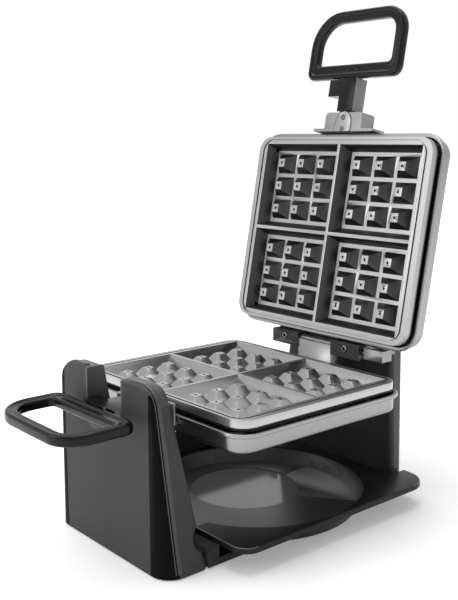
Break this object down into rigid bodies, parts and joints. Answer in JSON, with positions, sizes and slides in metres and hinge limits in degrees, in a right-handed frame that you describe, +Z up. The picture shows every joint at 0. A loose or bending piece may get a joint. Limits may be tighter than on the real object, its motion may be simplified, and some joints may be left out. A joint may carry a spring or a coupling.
{
  "type": "waffle maker",
  "caption": "Rotary waffle maker: square grid plates hinged at one side, turning together in a cradle over a slide-out drip tray.",
  "frame": {"origin": "on the floor, straight below the middle of the plates", "axes": "+X along the flip axis from the handles to the lid hinge, +Y to the back, +Z up"},
  "size_m": [0.4023, 0.245, 0.4867],
  "materials": {
    "black_base": "fine moulded grain, black",
    "grey_panel": "satin charcoal, fine moulded grain",
    "foot_rubber": "matte black rubber",
    "screw_steel": "zinc plated steel",
    "zinc_steel": "plain zinc plated steel",
    "bearing_nylon": "dark self-lubricating nylon",
    "white_ceramic": "off-white ceramic and phenolic",
    "lead_sleeve": "black silicone sleeve",
    "steel_housing": "satin stainless sheet",
    "coated_plate": "die-cast aluminium with grey non-stick coating",
    "element_sheath": "heat-darkened steel sheath",
    "reflector_sheet": "bright aluminised sheet",
    "bracket_alloy": "satin die-cast alloy",
    "handle_black": "black phenolic, soft gloss",
    "tray_black": "black, glossy"
  },
  "bodies": {
    "base": {"base_pan": "black_base", "rubber_feet": "foot_rubber", "foot_screws": "screw_steel", "left_outer_shell": "grey_panel", "left_inner_shell": "black_base", "left_support_plate": "zinc_steel", "cradle_liner": "bearing_nylon", "right_outer_shell": "grey_panel", "right_inner_shell": "black_base", "right_support_plate": "zinc_steel", "swivel_bearing": "bearing_nylon", "terminal_block": "white_ceramic", "cable_gland": "lead_sleeve"},
    "grill": {"lower_housing": "steel_housing", "lower_plate": "coated_plate", "lower_element": "element_sheath", "lower_reflector": "reflector_sheet", "lower_thermostat": "white_ceramic", "lower_thermal_fuse": "white_ceramic", "lower_plate_screws": "screw_steel", "lower_bracket": "bracket_alloy", "lower_clamp_plate": "bracket_alloy", "lower_bracket_screws": "screw_steel", "lower_neck": "handle_black", "lower_handle": "handle_black", "lower_handle_screws": "screw_steel", "hinge_block": "bracket_alloy", "hinge_block_screws": "screw_steel", "hinge_pin": "zinc_steel", "swivel_shaft": "zinc_steel", "shaft_retainer": "screw_steel", "swivel_lead": "lead_sleeve"},
    "lid": {"upper_housing": "steel_housing", "upper_plate": "coated_plate", "upper_element": "element_sheath", "upper_reflector": "reflector_sheet", "upper_thermal_fuse": "white_ceramic", "upper_plate_screws": "screw_steel", "upper_bracket": "bracket_alloy", "upper_clamp_plate": "bracket_alloy", "upper_bracket_screws": "screw_steel", "upper_neck": "handle_black", "upper_handle": "handle_black", "upper_handle_screws": "screw_steel", "front_hinge_ear": "handle_black", "rear_hinge_ear": "handle_black", "ear_screws": "screw_steel", "lid_stop_lug": "bracket_alloy"},
    "tray": {"drip_tray": "tray_black"}
  },
  "joints": [
    {"name": "grill_flip", "type": "hinge", "parent": "base", "child": "grill", "pos_m": [0, 0, 0.135], "axis": [1, 0, 0], "range_deg": [-45, 45]},
    {"name": "lid_hinge", "type": "hinge", "parent": "grill", "child": "lid", "pos_m": [0.1128, 0, 0.1488], "axis": [0, 1, 0], "range_deg": [-100.5, 0]},
    {"name": "tray_slide", "type": "slide", "parent": "base", "child": "tray", "axis": [0, -1, 0], "range_m": [0, 0.12]}
  ]
}
